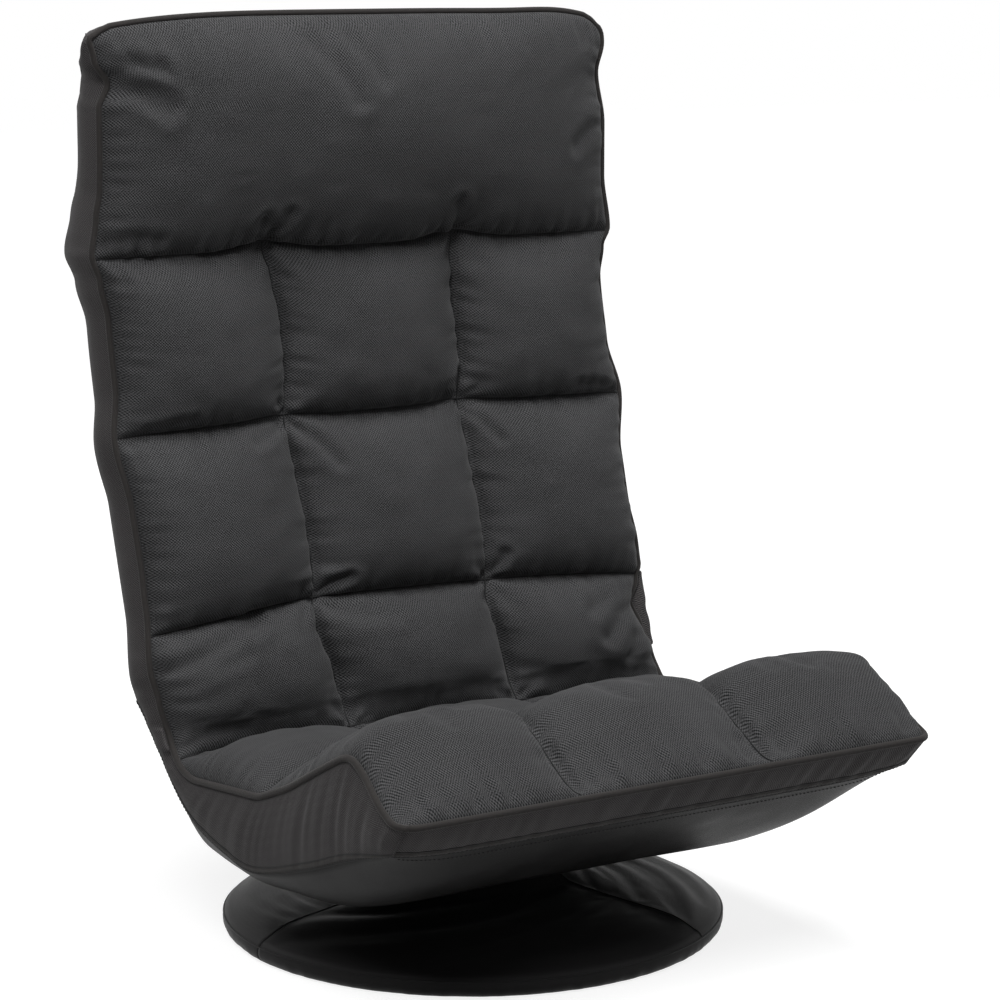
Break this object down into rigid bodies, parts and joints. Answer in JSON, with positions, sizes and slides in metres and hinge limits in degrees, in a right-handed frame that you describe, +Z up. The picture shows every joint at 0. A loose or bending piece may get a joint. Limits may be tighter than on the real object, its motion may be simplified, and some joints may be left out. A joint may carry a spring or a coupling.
{
  "type": "swivel floor chair",
  "caption": "Legless padded floor chair with a tufted seat and back, a front bolster, a folding ratchet back and a round swivel base under a cloth cover.",
  "frame": {"origin": "on the floor at the swivel axis, in the middle of the flat underside of the base", "axes": "+Z up along the swivel axis, -Y the way the chair faces, +X to the left hand of a sitter"},
  "size_m": [0.546, 0.55, 0.8162],
  "materials": {
    "fabric": "matt charcoal black woven polyester",
    "piping": "matt black covered cord",
    "vinyl": "soft sheen black coated cloth",
    "base_cloth": "satin black nylon cloth",
    "foam": "open cell foam",
    "painted_steel": "semi gloss black powder coat",
    "zinc_steel": "zinc plated"
  },
  "bodies": {
    "base": {"base_ring": "painted_steel", "base_spoke_right": "painted_steel", "base_spoke_rear": "painted_steel", "base_spoke_left": "painted_steel", "base_spoke_front": "painted_steel", "base_hub_plate": "painted_steel", "swivel_lower_plate": "zinc_steel", "swivel_ball_cage": "zinc_steel", "base_bolt_1": "zinc_steel", "base_bolt_2": "zinc_steel", "base_bolt_3": "zinc_steel", "base_bolt_4": "zinc_steel", "base_cover": "base_cloth", "base_bottom_panel": "base_cloth"},
    "seat": {"swivel_upper_plate": "zinc_steel", "seat_bolt_1": "zinc_steel", "seat_bolt_2": "zinc_steel", "seat_bolt_3": "zinc_steel", "seat_bolt_4": "zinc_steel", "seat_cross_bar_front": "painted_steel", "seat_cross_bar_rear": "painted_steel", "seat_frame_tube": "painted_steel", "seat_foam": "foam", "seat_pad": "fabric", "seat_side_panel_left": "fabric", "seat_side_panel_right": "fabric", "seat_front_panel": "fabric", "seat_hull_cover": "vinyl", "seat_piping": "piping", "hinge_inner_cheek_left": "zinc_steel", "hinge_inner_cheek_right": "zinc_steel", "hinge_outer_cheek_left": "zinc_steel", "hinge_outer_cheek_right": "zinc_steel", "hinge_pawl_left": "zinc_steel", "hinge_pawl_right": "zinc_steel", "hinge_pawl_spring_left": "zinc_steel", "hinge_pawl_spring_right": "zinc_steel", "hinge_pin_left": "zinc_steel", "hinge_pin_right": "zinc_steel", "hinge_pawl_rivet_left": "zinc_steel", "hinge_pawl_rivet_right": "zinc_steel", "hinge_stay_rivet_left": "zinc_steel", "hinge_stay_rivet_right": "zinc_steel", "pad_bend": "fabric", "cover_bend": "fabric"},
    "back": {"hinge_back_arm_left": "zinc_steel", "hinge_back_arm_right": "zinc_steel", "back_frame_tube": "painted_steel", "back_cross_tube": "painted_steel", "back_foam": "foam", "back_pad": "fabric", "headrest_pad": "fabric", "back_side_panel_left": "fabric", "back_side_panel_right": "fabric", "back_top_panel": "fabric", "back_rear_panel": "fabric", "back_piping": "piping"}
  },
  "joints": [
    {"name": "swivel", "type": "hinge", "parent": "base", "child": "seat", "pos_m": [0, 0, 0.0685], "axis": [0, 0, 1], "continuous": true},
    {"name": "recline", "type": "hinge", "parent": "seat", "child": "back", "pos_m": [0, 0.1235, 0.2404], "axis": [-1, 0, 0], "range_deg": [-60, 80], "deforming": ["pad_bend", "cover_bend"]}
  ]
}
